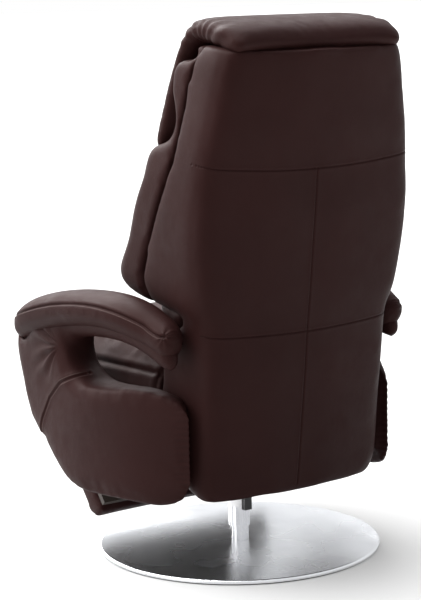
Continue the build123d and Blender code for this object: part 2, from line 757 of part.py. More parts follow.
with BuildPart() as gas_lugs:
    for side in (-1, 1):
        inner = GAS_X + side * LUG_GAP
        outer = GAS_X + side * (LUG_GAP + LUG_THICKNESS)
        with BuildSketch(plane_facing_x(min(inner, outer))) as lug:
            with Locations((GAS_Y, GAS_Z)):
                Circle(LUG_RADIUS)
            with BuildLine():
                LUG_FRONT = back_point(0, FRAME_FRONT + 2, FRAME_LOW - 0.2)
                LUG_REAR = back_point(0, FRAME_REAR, FRAME_LOW - 0.2)
                Polyline(
                    (GAS_Y - LUG_RADIUS, GAS_Z),
                    (LUG_FRONT.Y, LUG_FRONT.Z),
                    (LUG_REAR.Y, LUG_REAR.Z),
                    (GAS_Y + LUG_RADIUS, GAS_Z),
                    close=True,
                )
            make_face()
        extrude(amount=LUG_THICKNESS)
    with BuildSketch(plane_facing_x(GAS_X - LUG_GAP - LUG_THICKNESS, GAS_Y, GAS_Z)):
        Circle(GAS_PIN_RADIUS)
    extrude(amount=2 * (LUG_GAP + LUG_THICKNESS))
save(gas_lugs, "gas_lugs")

# front cushion of the back: height, half width, front face
LUMBAR_SECTIONS = (
    (232, 222, -158),
    (245, 227, -170),
    (300, 228, -177),
    (350, 229, -190),
    (WING_FOOT, 231, -206),
)
CUSHION_SECTIONS = (
    (WING_FOOT + 2, 228, -276),
    (384, 242, -308),
    (400, 249, -324),
    (434, 256, -318),
    (487, 261, -296),
    (560, 265, -272),
    (630, 262, -246),
    (690, 252, -217),
    (705, 248, -190),
    (800, 235, -189),
    (870, 220, -184),
    (902, 202, -168),
)
CUSHION_CORNER = 26
CUSHION_OVERLAP = 6
HEAD_REAR = -190
HEAD_LOW = HEAD_PIVOT_H - 6
HEAD_ROOM = 2
RECESS_HALF_WIDTH = 150
RECESS_LOW = 700
PLATE_RECESS_HIGH = 910
RATCHET_RECESS_HIGH = 736


def shell_front(sections, height):
    # the shell's front edge at a height, from its neighbouring sections
    for low, high in zip(sections, sections[1:]):
        if low[0] <= height <= high[0]:
            share = (height - low[0]) / (high[0] - low[0])
            return low[2] + share * (high[2] - low[2])
    return sections[-1][2]


def cushion_section(sections, height, half_width, front):
    rear = shell_front(sections, height) - CUSHION_OVERLAP
    with BuildSketch(back_plane(height)) as section:
        with Locations((0, (front + rear) / 2)):
            Rectangle(2 * half_width, rear - front)
        corners = section.vertices().filter_by(lambda corner: local_rear(corner, height) < (front + rear) / 2)
        fillet(corners, CUSHION_CORNER)
    return section.sketch


with BuildPart() as back_cushion:
    loft([cushion_section(WING_SECTIONS, *row) for row in CUSHION_SECTIONS])
    # room for the head part, its plate and the ratchets
    back_box(BASE_RADIUS, 1.1 * CUT_FRONT, HEAD_REAR + HEAD_ROOM, HEAD_LOW, ROLL_H, Mode.SUBTRACT)
    back_box(RECESS_HALF_WIDTH, HEAD_PIVOT_N - 40, -165, RECESS_LOW, PLATE_RECESS_HIGH, Mode.SUBTRACT)
    back_box(RECESS_HALF_WIDTH, CUT_FRONT, -60, RECESS_LOW, RATCHET_RECESS_HIGH, Mode.SUBTRACT)
    add(roll_space.part, mode=Mode.SUBTRACT)
save(back_cushion, "back_cushion")

with BuildPart() as lumbar_cushion:
    loft([cushion_section(TAIL_SECTIONS, *row) for row in LUMBAR_SECTIONS])
save(lumbar_cushion, "lumbar_cushion")

# ---- head part --------------------------------------------------------------------------------

RATCHET_X = 115
RATCHET_WIDTH = 30
RATCHET_RADIUS = 8
HEAD_PIN_RADIUS = 4
HEAD_PIN_REACH = 9


def head_plane(across):
    pivot = back_point(across, HEAD_PIVOT_N, HEAD_PIVOT_H)
    lean = radians(BACK_LEAN)
    return Plane(origin=pivot, x_dir=(0, cos(lean), -sin(lean)), z_dir=(1, 0, 0))


with BuildPart() as head_ratchet_left:
    with BuildSketch(head_plane(RATCHET_X)):
        Circle(RATCHET_RADIUS)
        with Locations(((FRAME_FRONT - HEAD_PIVOT_N) / 2, 0)):
            Rectangle(FRAME_FRONT - HEAD_PIVOT_N, 2 * RATCHET_RADIUS)
        Circle(HEAD_PIN_RADIUS, mode=Mode.SUBTRACT)
    extrude(amount=RATCHET_WIDTH)
save(head_ratchet_left, "head_ratchet_left")
save_mirrored(head_ratchet_left, "head_ratchet_right")

with BuildPart() as head_pins:
    with BuildSketch(head_plane(RATCHET_X - HEAD_PIN_REACH)):
        Circle(HEAD_PIN_RADIUS)
    extrude(amount=RATCHET_WIDTH + HEAD_PIN_REACH)
    mirror(about=Plane.YZ)
save(head_pins, "head_pins")

LEAF_THICKNESS = 6
LEAF_EYE_RADIUS = 8
LEAF_LENGTH = 28
HEAD_PLATE_HALF = 140
HEAD_PLATE_THICKNESS = 6
HEAD_PLATE_LOW = 738
HEAD_PLATE_HIGH = 900

# the head plate and its two hinge leaves, welded into one piece
with BuildPart() as head_plate:
    with BuildSketch(head_plane(RATCHET_X - 2 - LEAF_THICKNESS)):
        Circle(LEAF_EYE_RADIUS)
        with Locations((HEAD_PLATE_THICKNESS / 2, LEAF_LENGTH / 2)):
            Rectangle(HEAD_PLATE_THICKNESS, LEAF_LENGTH)
        Circle(HEAD_PIN_RADIUS + RUNNING_FIT, mode=Mode.SUBTRACT)
    extrude(amount=LEAF_THICKNESS)
    mirror(about=Plane.YZ)
    plate_rear = HEAD_PIVOT_N + HEAD_PLATE_THICKNESS
    back_box(HEAD_PLATE_HALF, HEAD_PIVOT_N, plate_rear, HEAD_PLATE_LOW, HEAD_PLATE_HIGH)
save(head_plate, "head_plate")

# height, half width, front face; the rear face lies just ahead of the back cushion
HEAD_SECTIONS = (
    (HEAD_PIVOT_H + 2, 222, -208),
    (HEAD_PIVOT_H + 14, 229, -222),
    (780, 224, -230),
    (850, 214, -230),
    (890, 204, -222),
    (908, 196, -210),
)


def head_section(height, half_width, front):
    with BuildSketch(back_plane(height)) as section:
        with Locations((0, (front + HEAD_REAR) / 2)):
            Rectangle(2 * half_width, HEAD_REAR - front)
        corners = section.vertices().filter_by(lambda corner: local_rear(corner, height) < front + 3)
        fillet(corners, HEAD_REAR - front - 4)
    return section.sketch


with BuildPart() as head_cushion:
    loft([head_section(*row) for row in HEAD_SECTIONS])
    add(roll_space.part, mode=Mode.SUBTRACT)
save(head_cushion, "head_cushion")

with BuildPart() as head_roll:
    loft([roll_section(*row) for row in ROLL_SECTIONS])
save(head_roll, "head_roll")

# ---- footrest -----------------------------------------------------------------------------------

GUIDE_X = 140
GUIDE_HALF = 13
GUIDE_WALL = 2
GUIDE_FRONT = -316
GUIDE_REAR = 0
RUNNER_HALF = GUIDE_HALF - GUIDE_WALL - 0.4
RUNNER_FRONT = -322
RUNNER_REAR = -70
RUNNER_Z = BEAM_TOP + GUIDE_HALF
EYE_RADIUS = 9
FOOT_PIN_RADIUS = 4
HINGE_PLATE = 6
HINGE_GAP = 1

with BuildPart() as guide_tube_left:
    with BuildSketch(Plane(origin=(GUIDE_X, GUIDE_FRONT, RUNNER_Z), z_dir=(0, 1, 0))):
        Rectangle(2 * GUIDE_HALF, 2 * GUIDE_HALF)
        Rectangle(2 * (GUIDE_HALF - GUIDE_WALL), 2 * (GUIDE_HALF - GUIDE_WALL), mode=Mode.SUBTRACT)
    extrude(amount=GUIDE_REAR - GUIDE_FRONT)
save(guide_tube_left, "guide_tube_left")
save_mirrored(guide_tube_left, "guide_tube_right")

with BuildPart() as runner_left:
    with BuildSketch(Plane(origin=(GUIDE_X, RUNNER_FRONT, RUNNER_Z), z_dir=(0, 1, 0))):
        Rectangle(2 * RUNNER_HALF, 2 * RUNNER_HALF)
    extrude(amount=RUNNER_REAR - RUNNER_FRONT)
    with BuildSketch(plane_facing_x(GUIDE_X - HINGE_PLATE / 2)):
        with Locations((FOOT_PIVOT_Y, FOOT_PIVOT_Z)):
            Circle(EYE_RADIUS)
        with BuildLine():
            Polyline(
                (FOOT_PIVOT_Y, FOOT_PIVOT_Z + EYE_RADIUS),
                (RUNNER_FRONT + 1, RUNNER_Z + RUNNER_HALF),
                (RUNNER_FRONT + 1, RUNNER_Z - RUNNER_HALF),
                (FOOT_PIVOT_Y, FOOT_PIVOT_Z - EYE_RADIUS),
                close=True,
            )
        make_face()
    extrude(amount=HINGE_PLATE)
    with BuildSketch(plane_facing_x(GUIDE_X - HINGE_PLATE / 2, FOOT_PIVOT_Y, FOOT_PIVOT_Z)):
        Circle(FOOT_PIN_RADIUS)
    extrude(amount=HINGE_PLATE, mode=Mode.SUBTRACT)
save(runner_left, "runner_left")
save_mirrored(runner_left, "runner_right")

with BuildPart() as foot_pins:
    with BuildSketch(plane_facing_x(GUIDE_X - HINGE_PLATE / 2 - 2, FOOT_PIVOT_Y, FOOT_PIVOT_Z)):
        Circle(FOOT_PIN_RADIUS)
    extrude(amount=2 * HINGE_PLATE + HINGE_GAP + 4)
    mirror(about=Plane.YZ)
save(foot_pins, "foot_pins")


def foot_plane(across):
    # local x runs down the folded pad, local y runs out through its back
    lean = radians(FOOT_LEAN)
    return Plane(
        origin=(across, FOOT_PIVOT_Y, FOOT_PIVOT_Z),
        x_dir=(0, cos(lean), -sin(lean)),
        z_dir=(1, 0, 0),
    )


BRACKET_LENGTH = 90
BRACKET_DEPTH = 8
BRACKET_GAP = 0.1

with BuildPart() as tilt_bracket_left:
    with BuildSketch(foot_plane(GUIDE_X + HINGE_PLATE / 2 + HINGE_GAP)):
        Circle(EYE_RADIUS)
        with BuildLine():
            Polyline(
                (-EYE_RADIUS, 0),
                (-EYE_RADIUS + 2, -FOOT_BACK + BRACKET_DEPTH),
                (BRACKET_LENGTH, -FOOT_BACK + BRACKET_DEPTH),
                (BRACKET_LENGTH, -FOOT_BACK + BRACKET_GAP),
                (FOOT_START - 2, -FOOT_BACK + BRACKET_GAP),
                (EYE_RADIUS, 0),
                close=True,
            )
        make_face()
        Circle(FOOT_PIN_RADIUS + RUNNING_FIT, mode=Mode.SUBTRACT)
    extrude(amount=HINGE_PLATE)
save(tilt_bracket_left, "tilt_bracket_left")
save_mirrored(tilt_bracket_left, "tilt_bracket_right")

SLOT_HALF = HINGE_PLATE / 2 + 1.5
SLOT_END = 58
SLOT_DEPTH = 60
BOARD_INSET = 4
BOARD_END_INSET = 6


def cut_hinge_slots():
    # room for the runner's hinge plate while the pad is folded
    for side in (-1, 1):
        with BuildSketch(foot_plane(side * GUIDE_X - SLOT_HALF)) as slot:
            with Locations((SLOT_END / 2, 0)):
                Rectangle(SLOT_END, SLOT_DEPTH)
        extrude(slot.sketch, amount=2 * SLOT_HALF, mode=Mode.SUBTRACT)


with BuildPart() as footrest_board:
    with BuildSketch(foot_plane(-FOOT_HALF_WIDTH + BOARD_INSET)):
        with Locations(((FOOT_START + FOOT_END) / 2, -FOOT_BACK - BOARD_THICKNESS / 2)):
            Rectangle(FOOT_END - FOOT_START - 2 * BOARD_END_INSET, BOARD_THICKNESS)
    extrude(amount=2 * (FOOT_HALF_WIDTH - BOARD_INSET))
    cut_hinge_slots()
save(footrest_board, "footrest_board")

PAD_BACK = -FOOT_BACK - BOARD_THICKNESS - 0.2
PAD_TOP_BEVEL = 12
PAD_TIP_BEVEL = 16

with BuildPart() as footrest_pad:
    with BuildSketch(foot_plane(-FOOT_HALF_WIDTH)):
        with BuildLine():
            Polyline(
                (FOOT_START, PAD_BACK),
                (FOOT_START, -FOOT_FACE + PAD_TOP_BEVEL),
                (FOOT_START + PAD_TOP_BEVEL, -FOOT_FACE),
                (FOOT_END - PAD_TIP_BEVEL, -FOOT_FACE),
                (FOOT_END, -FOOT_FACE + PAD_TIP_BEVEL),
                (FOOT_END, PAD_BACK),
                close=True,
            )
        make_face()
    extrude(amount=2 * FOOT_HALF_WIDTH)
    cut_hinge_slots()
save(footrest_pad, "footrest_pad")

# ---- release lever ------------------------------------------------------------------------------

LEVER_X = -243
LEVER_Y = -210
LEVER_Z = 284
LEVER_REACH = 175
LEVER_EYE_RADIUS = 9
LEVER_WIDTH = 10
LEVER_THICKNESS = 4
LEVER_INNER = LEVER_X - 5
LEVER_PIN_RADIUS = 4
LEVER_PIN_START = LEVER_X - 6
GRIP_LENGTH = 60
GRIP_OVERHANG = 8
GRIP_HEIGHT = 20
GRIP_THICKNESS = 18
GRIP_START = LEVER_X - 12


def lever_bar():
    with Locations((LEVER_Y - LEVER_REACH / 2, LEVER_Z)):
        Rectangle(LEVER_REACH, LEVER_WIDTH)


with BuildPart() as release_lever:
    with BuildSketch(plane_facing_x(LEVER_INNER)):
        lever_bar()
        with Locations((LEVER_Y, LEVER_Z)):
            Circle(LEVER_EYE_RADIUS)
            Circle(LEVER_PIN_RADIUS + RUNNING_FIT, mode=Mode.SUBTRACT)
    extrude(amount=LEVER_THICKNESS)
save(release_lever, "release_lever")

with BuildPart() as lever_pin:
    with BuildSketch(plane_facing_x(LEVER_PIN_START, LEVER_Y, LEVER_Z)):
        Circle(LEVER_PIN_RADIUS)
    extrude(amount=-RAIL_X - RAIL_WIDTH / 2 - LEVER_PIN_START)
save(lever_pin, "lever_pin")

with BuildPart() as lever_grip:
    with BuildSketch(plane_facing_x(GRIP_START)):
        with Locations((LEVER_Y - LEVER_REACH + GRIP_LENGTH / 2 - GRIP_OVERHANG, LEVER_Z)):
            RectangleRounded(GRIP_LENGTH, GRIP_HEIGHT, LEVER_EYE_RADIUS)
    extrude(amount=GRIP_THICKNESS)
    with BuildSketch(plane_facing_x(LEVER_INNER)):
        lever_bar()
    extrude(amount=LEVER_THICKNESS, mode=Mode.SUBTRACT)
save(lever_grip, "lever_grip")
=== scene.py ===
import json
import math
import bmesh
import bpy
import numpy as np
from mathutils import Matrix, Vector, noise
from mathutils.bvhtree import BVHTree


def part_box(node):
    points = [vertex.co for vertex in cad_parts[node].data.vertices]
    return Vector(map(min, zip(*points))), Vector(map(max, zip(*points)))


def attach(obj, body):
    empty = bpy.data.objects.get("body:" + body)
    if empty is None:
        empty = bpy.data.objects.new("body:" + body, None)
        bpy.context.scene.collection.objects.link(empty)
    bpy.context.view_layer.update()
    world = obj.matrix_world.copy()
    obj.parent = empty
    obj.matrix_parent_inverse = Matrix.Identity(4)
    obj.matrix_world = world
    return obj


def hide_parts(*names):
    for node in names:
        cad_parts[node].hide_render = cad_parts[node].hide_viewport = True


# Looks of the recliner armchair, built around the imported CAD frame. Metres, +Z up, the chair
# faces -Y and +X is the sitter's left.

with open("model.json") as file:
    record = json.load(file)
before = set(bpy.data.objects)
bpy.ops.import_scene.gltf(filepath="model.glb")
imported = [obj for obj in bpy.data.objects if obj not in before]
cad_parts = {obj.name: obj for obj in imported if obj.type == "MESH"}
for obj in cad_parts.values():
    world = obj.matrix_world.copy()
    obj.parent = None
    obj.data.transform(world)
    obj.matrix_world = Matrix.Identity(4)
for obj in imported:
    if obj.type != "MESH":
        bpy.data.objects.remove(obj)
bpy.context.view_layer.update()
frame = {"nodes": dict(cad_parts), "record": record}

BACK_LEAN = math.radians(7.2)
UP = Vector((0, math.sin(BACK_LEAN), math.cos(BACK_LEAN)))
REAR = Vector((0, math.cos(BACK_LEAN), -math.sin(BACK_LEAN)))


# ---- places read from the frame ---------------------------------------------------------------


def lowest_point(node):
    vertex = min(frame["nodes"][node].data.vertices, key=lambda v: v.co.z)
    return Vector((0, vertex.co.y, vertex.co.z))


BACK_FOOT = lowest_point("back_tail")


def back_height(node, end):
    # how far up the back a node starts (end 0) or stops (end 1)
    heights = [(v.co - BACK_FOOT).dot(UP) for v in frame["nodes"][node].data.vertices]
    return (min(heights), max(heights))[end]


def back_spot(across, rearward, height):
    return BACK_FOOT + Vector((across, 0, 0)) + REAR * rearward + UP * height


def back_heights(points):
    return (points - np.array(BACK_FOOT)) @ np.array(UP)


def back_depths(points):
    return (points - np.array(BACK_FOOT)) @ np.array(REAR)


# ---- mesh helpers -----------------------------------------------------------------------------


def coordinates(piece):
    flat = np.empty(len(piece.data.vertices) * 3)
    piece.data.vertices.foreach_get("co", flat)
    return flat.reshape(-1, 3)


def set_coordinates(piece, points):
    piece.data.vertices.foreach_set("co", np.ascontiguousarray(points).ravel())
    piece.data.update()


def normals(piece):
    flat = np.empty(len(piece.data.vertices) * 3)
    piece.data.vertices.foreach_get("normal", flat)
    return flat.reshape(-1, 3)


def new_piece(name, mesh):
    piece = bpy.data.objects.new(name, mesh)
    bpy.context.scene.collection.objects.link(piece)
    return piece


def apply_modifiers(piece):
    graph = bpy.context.evaluated_depsgraph_get()
    mesh = bpy.data.meshes.new_from_object(piece.evaluated_get(graph))
    piece.modifiers.clear()
    piece.data = mesh
    mesh.polygons.foreach_set("use_smooth", [True] * len(mesh.polygons))


def joined(name, sources):
    # sources are (mesh, matrix) pairs, put together in one new piece
    points, faces = [], []
    for mesh, matrix in sources:
        start = len(points)
        points += [matrix @ v.co for v in mesh.vertices]
        faces += [[start + i for i in polygon.vertices] for polygon in mesh.polygons]
    mesh = bpy.data.meshes.new(name)
    mesh.from_pydata(points, [], faces)
    return new_piece(name, mesh)


def node_sources(nodes):
    return [(frame["nodes"][node].data, Matrix.Identity(4)) for node in nodes]


def prism(start, end, outline):
    # a block between two places across, its outline given as (rearward, height) corners
    count = len(outline)
    points = [(x, y, z) for x in (start, end) for y, z in outline]
    faces = [tuple(range(count)), tuple(reversed(range(count, 2 * count)))]
    faces += [(i, (i + 1) % count, count + (i + 1) % count, count + i) for i in range(count)]
    mesh = bpy.data.meshes.new("block")
    mesh.from_pydata(points, [], faces)
    return mesh, Matrix.Identity(4)


def remesh(piece, voxel):
    modifier = piece.modifiers.new("voxels", "REMESH")
    modifier.mode = "VOXEL"
    modifier.voxel_size = voxel
    apply_modifiers(piece)


def relax(piece, rounds, weights=None):
    # rounds off edges: each point moves halfway to the mean of its neighbours
    edges = np.empty(len(piece.data.edges) * 2, int)
    piece.data.edges.foreach_get("vertices", edges)
    first, second = edges.reshape(-1, 2).T
    points = coordinates(piece)
    count = np.bincount(first, minlength=len(points)) + np.bincount(second, minlength=len(points))
    share = 0.5 if weights is None else 0.5 * weights[:, None]
    for _ in range(rounds):
        total = np.empty_like(points)
        for axis in range(3):
            total[:, axis] = np.bincount(first, points[second, axis], len(points))
            total[:, axis] += np.bincount(second, points[first, axis], len(points))
        points = points + share * (total / count[:, None] - points)
    set_coordinates(piece, points)


def push(piece, distances):
    # moves each point along its normal, by one distance each or the same for all
    points = coordinates(piece)
    distances = np.broadcast_to(distances, len(points))
    set_coordinates(piece, points + normals(piece) * distances[:, None])


def subdivide(piece):
    modifier = piece.modifiers.new("finer", "SUBSURF")
    modifier.levels = 1
    modifier.render_levels = 1
    apply_modifiers(piece)


def smoothstep(values, low, high):
    share = np.clip((values - low) / (high - low), 0, 1)
    return share * share * (3 - 2 * share)


SIM_FRAMES = 20
SIM_QUALITY = 4
PRESSURE = 4.0
SHORTEST_TRAVEL = 1e-9


def inflate(piece, cap, mask=None):
    # cloth under inner pressure, its travel capped and faded out where mask is 0
    before = coordinates(piece)
    cloth = piece.modifiers.new("pressure", "CLOTH")
    cloth.settings.quality = SIM_QUALITY
    cloth.settings.use_pressure = True
    cloth.settings.uniform_pressure_force = PRESSURE
    cloth.settings.effector_weights.gravity = 0
    cloth.point_cache.frame_start = 1
    cloth.point_cache.frame_end = SIM_FRAMES
    for step in range(1, SIM_FRAMES + 1):
        bpy.context.scene.frame_set(step)
    apply_modifiers(piece)
    bpy.context.scene.frame_set(1)
    travel = coordinates(piece) - before
    length = np.linalg.norm(travel, axis=1)
    travel *= (np.minimum(length, cap) / np.maximum(length, SHORTEST_TRAVEL))[:, None]
    if mask is not None:
        travel *= mask[:, None]
    set_coordinates(piece, before + travel)


NOISE_STEPS = (7.3, 3.1, 5.7)


def noise_values(points, scale, seed):
    # smooth noise at each point; each seed reads another stretch of the same noise
    offset = Vector([seed * step for step in NOISE_STEPS])
    return np.array([noise.noise(Vector(p) * scale + offset) for p in points])


# ---- seams ------------------------------------------------------------------------------------


def tree_of(piece):
    return BVHTree.FromPolygons(
        [v.co for v in piece.data.vertices], [p.vertices for p in piece.data.polygons]
    )


def cast_line(piece, origins, direction):
    # the points and normals where rays from the origins first meet the piece
    tree = tree_of(piece)
    hits = [tree.ray_cast(Vector(origin), Vector(direction)) for origin in origins]
    return [(hit[0], hit[1]) for hit in hits if hit[0] is not None]


SEAM_REACH = 0.04
FAR_AWAY = 1.0
BATCH = 4000


def line_distance(points, line):
    # distance of each point from the line, with far points left at a large value
    spots = np.array([list(point) for point, _ in line])
    low, high = spots.min(0) - SEAM_REACH, spots.max(0) + SEAM_REACH
    near = np.nonzero(((points > low) & (points < high)).all(1))[0]
    distance = np.full(len(points), FAR_AWAY)
    for part in np.array_split(near, max(1, len(near) // BATCH)):
        gap = np.linalg.norm(points[part][:, None, :] - spots[None], axis=2)
        distance[part] = gap.min(1)
    return distance


# where a seam's shoulder stands and how wide it is, in widths of the valley
SHOULDER_PLACE = 3
SHOULDER_WIDTH = 1.6


def carve(piece, line, depth, width, shoulder):
    # a sewn seam: a narrow valley with the leather standing a little proud on each side
    distance = line_distance(coordinates(piece), line)
    valley = np.exp(-((distance / width) ** 2))
    swell = np.exp(-(((distance - SHOULDER_PLACE * width) / (SHOULDER_WIDTH * width)) ** 2))
    push(piece, -depth * valley + shoulder * swell)


def refine(piece, lines, reach):
    # finer mesh in a band along the lines, so that a seam stays crisp
    points = coordinates(piece)
    near = np.min([line_distance(points, line) for line in lines], axis=0) < reach
    cage = bmesh.new()
    cage.from_mesh(piece.data)
    cage.verts.ensure_lookup_table()
    edges = [e for e in cage.edges if near[e.verts[0].index] and near[e.verts[1].index]]
    bmesh.ops.subdivide_edges(cage, edges=edges, cuts=1, use_grid_fill=True, smooth=0.5)
    bmesh.ops.triangulate(cage, faces=[f for f in cage.faces if len(f.verts) > 4])
    cage.to_mesh(piece.data)
    cage.free()
    piece.data.polygons.foreach_set("use_smooth", [True] * len(piece.data.polygons))
    piece.data.update()


def span(start, end, count):
    return [start + (end - start) * i / (count - 1) for i in range(count)]


def shifted_line(piece, line, sideways):
    # a line on the piece's surface, beside another one
    tree = tree_of(piece)
    shifted = []
    for i, (point, normal) in enumerate(line):
        along = line[min(i + 1, len(line) - 1)][0] - line[max(i - 1, 0)][0]
        side = along.normalized().cross(normal).normalized()
        spot, face_normal, _, _ = tree.find_nearest(point + side * sideways)
        shifted.append((spot, face_normal))
    return shifted


STITCH_PITCH = 0.0048
STITCH_LENGTH = 0.0034
STITCH_RADIUS = 0.00055
BELOW_PAD_SEAM = 0.0045
BESIDE_PANEL_SEAM = 0.0055
SHORTEST_STEP = 1e-5


def add_stitch(points, faces, middle, tangent, normal):
    # a small four-sided grain, partly sunk in the leather
    start = len(points)
    side = tangent.cross(normal).normalized()
    lift = middle + normal * STITCH_RADIUS * 0.5
    half = tangent * STITCH_LENGTH / 2
    points += [lift - half, lift + half]
    points += [lift + side * STITCH_RADIUS, lift + normal * STITCH_RADIUS]
    points += [lift - side * STITCH_RADIUS, lift - normal * STITCH_RADIUS]
    for corner in range(4):
        here = start + 2 + corner
        after = start + 2 + (corner + 1) % 4
        faces.append((start, after, here))
        faces.append((start + 1, here, after))


def stitches(name, lines, body):
    # rows of thread along the lines
    points, faces = [], []
    for line in lines:
        for (a, normal), (b, _) in zip(line, line[1:]):
            along = b - a
            if along.length < SHORTEST_STEP:
                continue
            count = max(1, round(along.length / STITCH_PITCH))
            for number in range(count):
                middle = a + along * ((number + 0.5) / count)
                add_stitch(points, faces, middle, along.normalized(), normal)
    mesh = bpy.data.meshes.new(name)
    mesh.from_pydata(points, [], faces)
    piece = new_piece(name, mesh)
    mesh.polygons.foreach_set("use_smooth", [True] * len(mesh.polygons))
    mesh.materials.append(THREAD)
    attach(piece, body)


# ---- materials --------------------------------------------------------------------------------


def grey(level):
    return (level, level, level)


class Nodes:
    """A material's node tree, with the principled shader ready."""

    def __init__(self, name):
        self.material = bpy.data.materials.new(name)
        self.material.use_nodes = True
        self.tree = self.material.node_tree
        self.shader = self.tree.nodes["Principled BSDF"]
        self.place = self.add("ShaderNodeTexCoord").outputs["Object"]

    def add(self, kind, **values):
        # a value goes to the input of that name, or else to the property of that name
        node = self.tree.nodes.new(kind)
        for key, value in values.items():
            if key in node.inputs:
                node.inputs[key].default_value = value
            else:
                setattr(node, key, value)
        return node

    def link(self, output, target):
        self.tree.links.new(output, target)

    def feed(self, output, name):
        self.link(output, self.shader.inputs[name])

    def placed(self, kind, **values):
        # a texture laid out in the piece's own metres
        node = self.add(kind, **values)
        self.link(self.place, node.inputs["Vector"])
        return node

    def noise(self, scale, detail, place=None):
        node = self.add("ShaderNodeTexNoise", Scale=scale, Detail=detail)
        self.link(place or self.place, node.inputs["Vector"])
        return node.outputs["Fac"]

    def stretch(self, scale):
        return self.placed("ShaderNodeMapping", Scale=scale).outputs["Vector"]

    def ramp(self, value, *stops):
        node = self.add("ShaderNodeValToRGB")
        for element, (at, color) in zip(node.color_ramp.elements, stops):
            element.position = at
            element.color = (*color, 1)
        self.link(value, node.inputs["Fac"])
        return node.outputs["Color"]

    def bump(self, height, distance, strength, below=None):
        node = self.add("ShaderNodeBump", Distance=distance, Strength=strength)
        self.link(height, node.inputs["Height"])
        if below is not None:
            self.link(below, node.inputs["Normal"])
        return node.outputs["Normal"]

    def set(self, **values):
        for key, value in values.items():
            self.shader.inputs[key.replace("_", " ")].default_value = value


LEATHER_DARK = (0.0180, 0.0066, 0.0062)
LEATHER_LIGHT = (0.0235, 0.0088, 0.0083)
PORES_PER_METRE = 620.0


def leather_material():
    m = Nodes("brown_leather")
    m.feed(m.ramp(m.noise(5.0, 5.0), (0.3, LEATHER_DARK), (0.72, LEATHER_LIGHT)), "Base Color")
    cells = m.placed("ShaderNodeTexVoronoi", Scale=PORES_PER_METRE, feature="DISTANCE_TO_EDGE")
    pores = m.ramp(cells.outputs["Distance"], (0.0, grey(0)), (0.22, grey(1)))
    soft = m.bump(m.noise(34.0, 6.0), 0.0016, 0.5)
    m.feed(m.bump(pores, 0.00022, 0.55, below=soft), "Normal")
    m.feed(m.ramp(m.noise(26.0, 5.0), (0.3, grey(0.40)), (0.7, grey(0.54))), "Roughness")
    m.set(Specular_IOR_Level=0.07, Specular_Tint=(0.95, 0.66, 0.62, 1.0))
    return m.material


def brushed_material():
    # turned sheet: fine rings round the middle
    m = Nodes("turned_steel")
    rings = m.placed(
        "ShaderNodeTexWave",
        Scale=420.0, Distortion=3.0, Detail=3.0, wave_type="RINGS", rings_direction="Z",
    )
    m.feed(m.bump(rings.outputs["Fac"], 0.00003, 0.35), "Normal")
    m.feed(m.ramp(m.noise(7.0, 2.0), (0.3, grey(0.25)), (0.7, grey(0.29))), "Roughness")
    tone = m.ramp(m.noise(9.0, 3.0), (0.3, (0.66, 0.67, 0.69)), (0.7, (0.76, 0.77, 0.785)))
    m.feed(tone, "Base Color")
    tangent = m.add("ShaderNodeTangent", direction_type="RADIAL", axis="Z")
    m.feed(tangent.outputs["Tangent"], "Tangent")
    m.set(Metallic=1.0, Anisotropic=0.3)
    return m.material


def chrome_material():
    m = Nodes("chrome_plate")
    smears = m.noise(45.0, 4.0, m.stretch((1, 1, 0.15)))
    m.feed(m.ramp(smears, (0.35, grey(0.05)), (0.7, grey(0.12))), "Roughness")
    m.feed(m.ramp(smears, (0.3, (0.66, 0.66, 0.67)), (0.7, (0.78, 0.78, 0.79))), "Base Color")
    m.set(Metallic=1.0)
    return m.material


def powder_material(name, dark, light, metallic, roughness, texture=900.0):
    m = Nodes(name)
    m.feed(m.ramp(m.noise(18.0, 4.0), (0.3, dark), (0.7, light)), "Base Color")
    m.feed(m.bump(m.noise(texture, 2.0), 0.0001, 0.5), "Normal")
    smooth, rough = roughness
    m.feed(m.ramp(m.noise(60.0, 4.0), (0.3, grey(smooth)), (0.7, grey(rough))), "Roughness")
    m.set(Metallic=metallic)
    return m.material


def plywood_material():
    m = Nodes("stained_plywood")
    grain = m.noise(16.0, 8.0, m.stretch((1, 0.12, 1)))
    m.feed(m.ramp(grain, (0.3, (0.020, 0.013, 0.010)), (0.7, (0.042, 0.029, 0.021))), "Base Color")
    layers = m.placed("ShaderNodeTexWave", Scale=110.0, Distortion=0.6, bands_direction="Z")
    m.feed(m.bump(layers.outputs["Fac"], 0.0001, 0.4), "Normal")
    m.set(Roughness=0.6)
    return m.material


def cloth_material():
    m = Nodes("dust_cloth")
    m.feed(m.ramp(m.noise(240.0, 3.0), (0.3, grey(0.008)), (0.7, grey(0.03))), "Base Color")
    weave = m.placed("ShaderNodeTexChecker", Scale=1400.0)
    m.feed(m.bump(weave.outputs["Fac"], 0.0001, 0.6), "Normal")
    m.set(Roughness=0.95)
    return m.material


LEATHER = leather_material()
THREAD = powder_material(
    "brown_thread", (0.05, 0.026, 0.022), (0.09, 0.05, 0.042), 0.0, (0.6, 0.75), 2600.0
)
SLOT_MATERIALS = {
    "brushed_cover": brushed_material(),
    "chrome_column": chrome_material(),
    "frame_steel": powder_material(
        "black_powder_coat", grey(0.012), grey(0.028), 0.3, (0.42, 0.6)
    ),
    "plate_steel": powder_material("dark_plate", grey(0.06), grey(0.12), 0.9, (0.5, 0.7)),
    "fastener_steel": powder_material(
        "zinc_plate", (0.42, 0.43, 0.45), (0.58, 0.59, 0.6), 1.0, (0.25, 0.4)
    ),
    "floor_rubber": powder_material("black_rubber", grey(0.008), grey(0.02), 0.0, (0.75, 0.9)),
    "plywood": plywood_material(),
    "black_plastic": powder_material("black_nylon", grey(0.009), grey(0.016), 0.0, (0.35, 0.5)),
    "dust_fabric": cloth_material(),
    "leather": LEATHER,
}


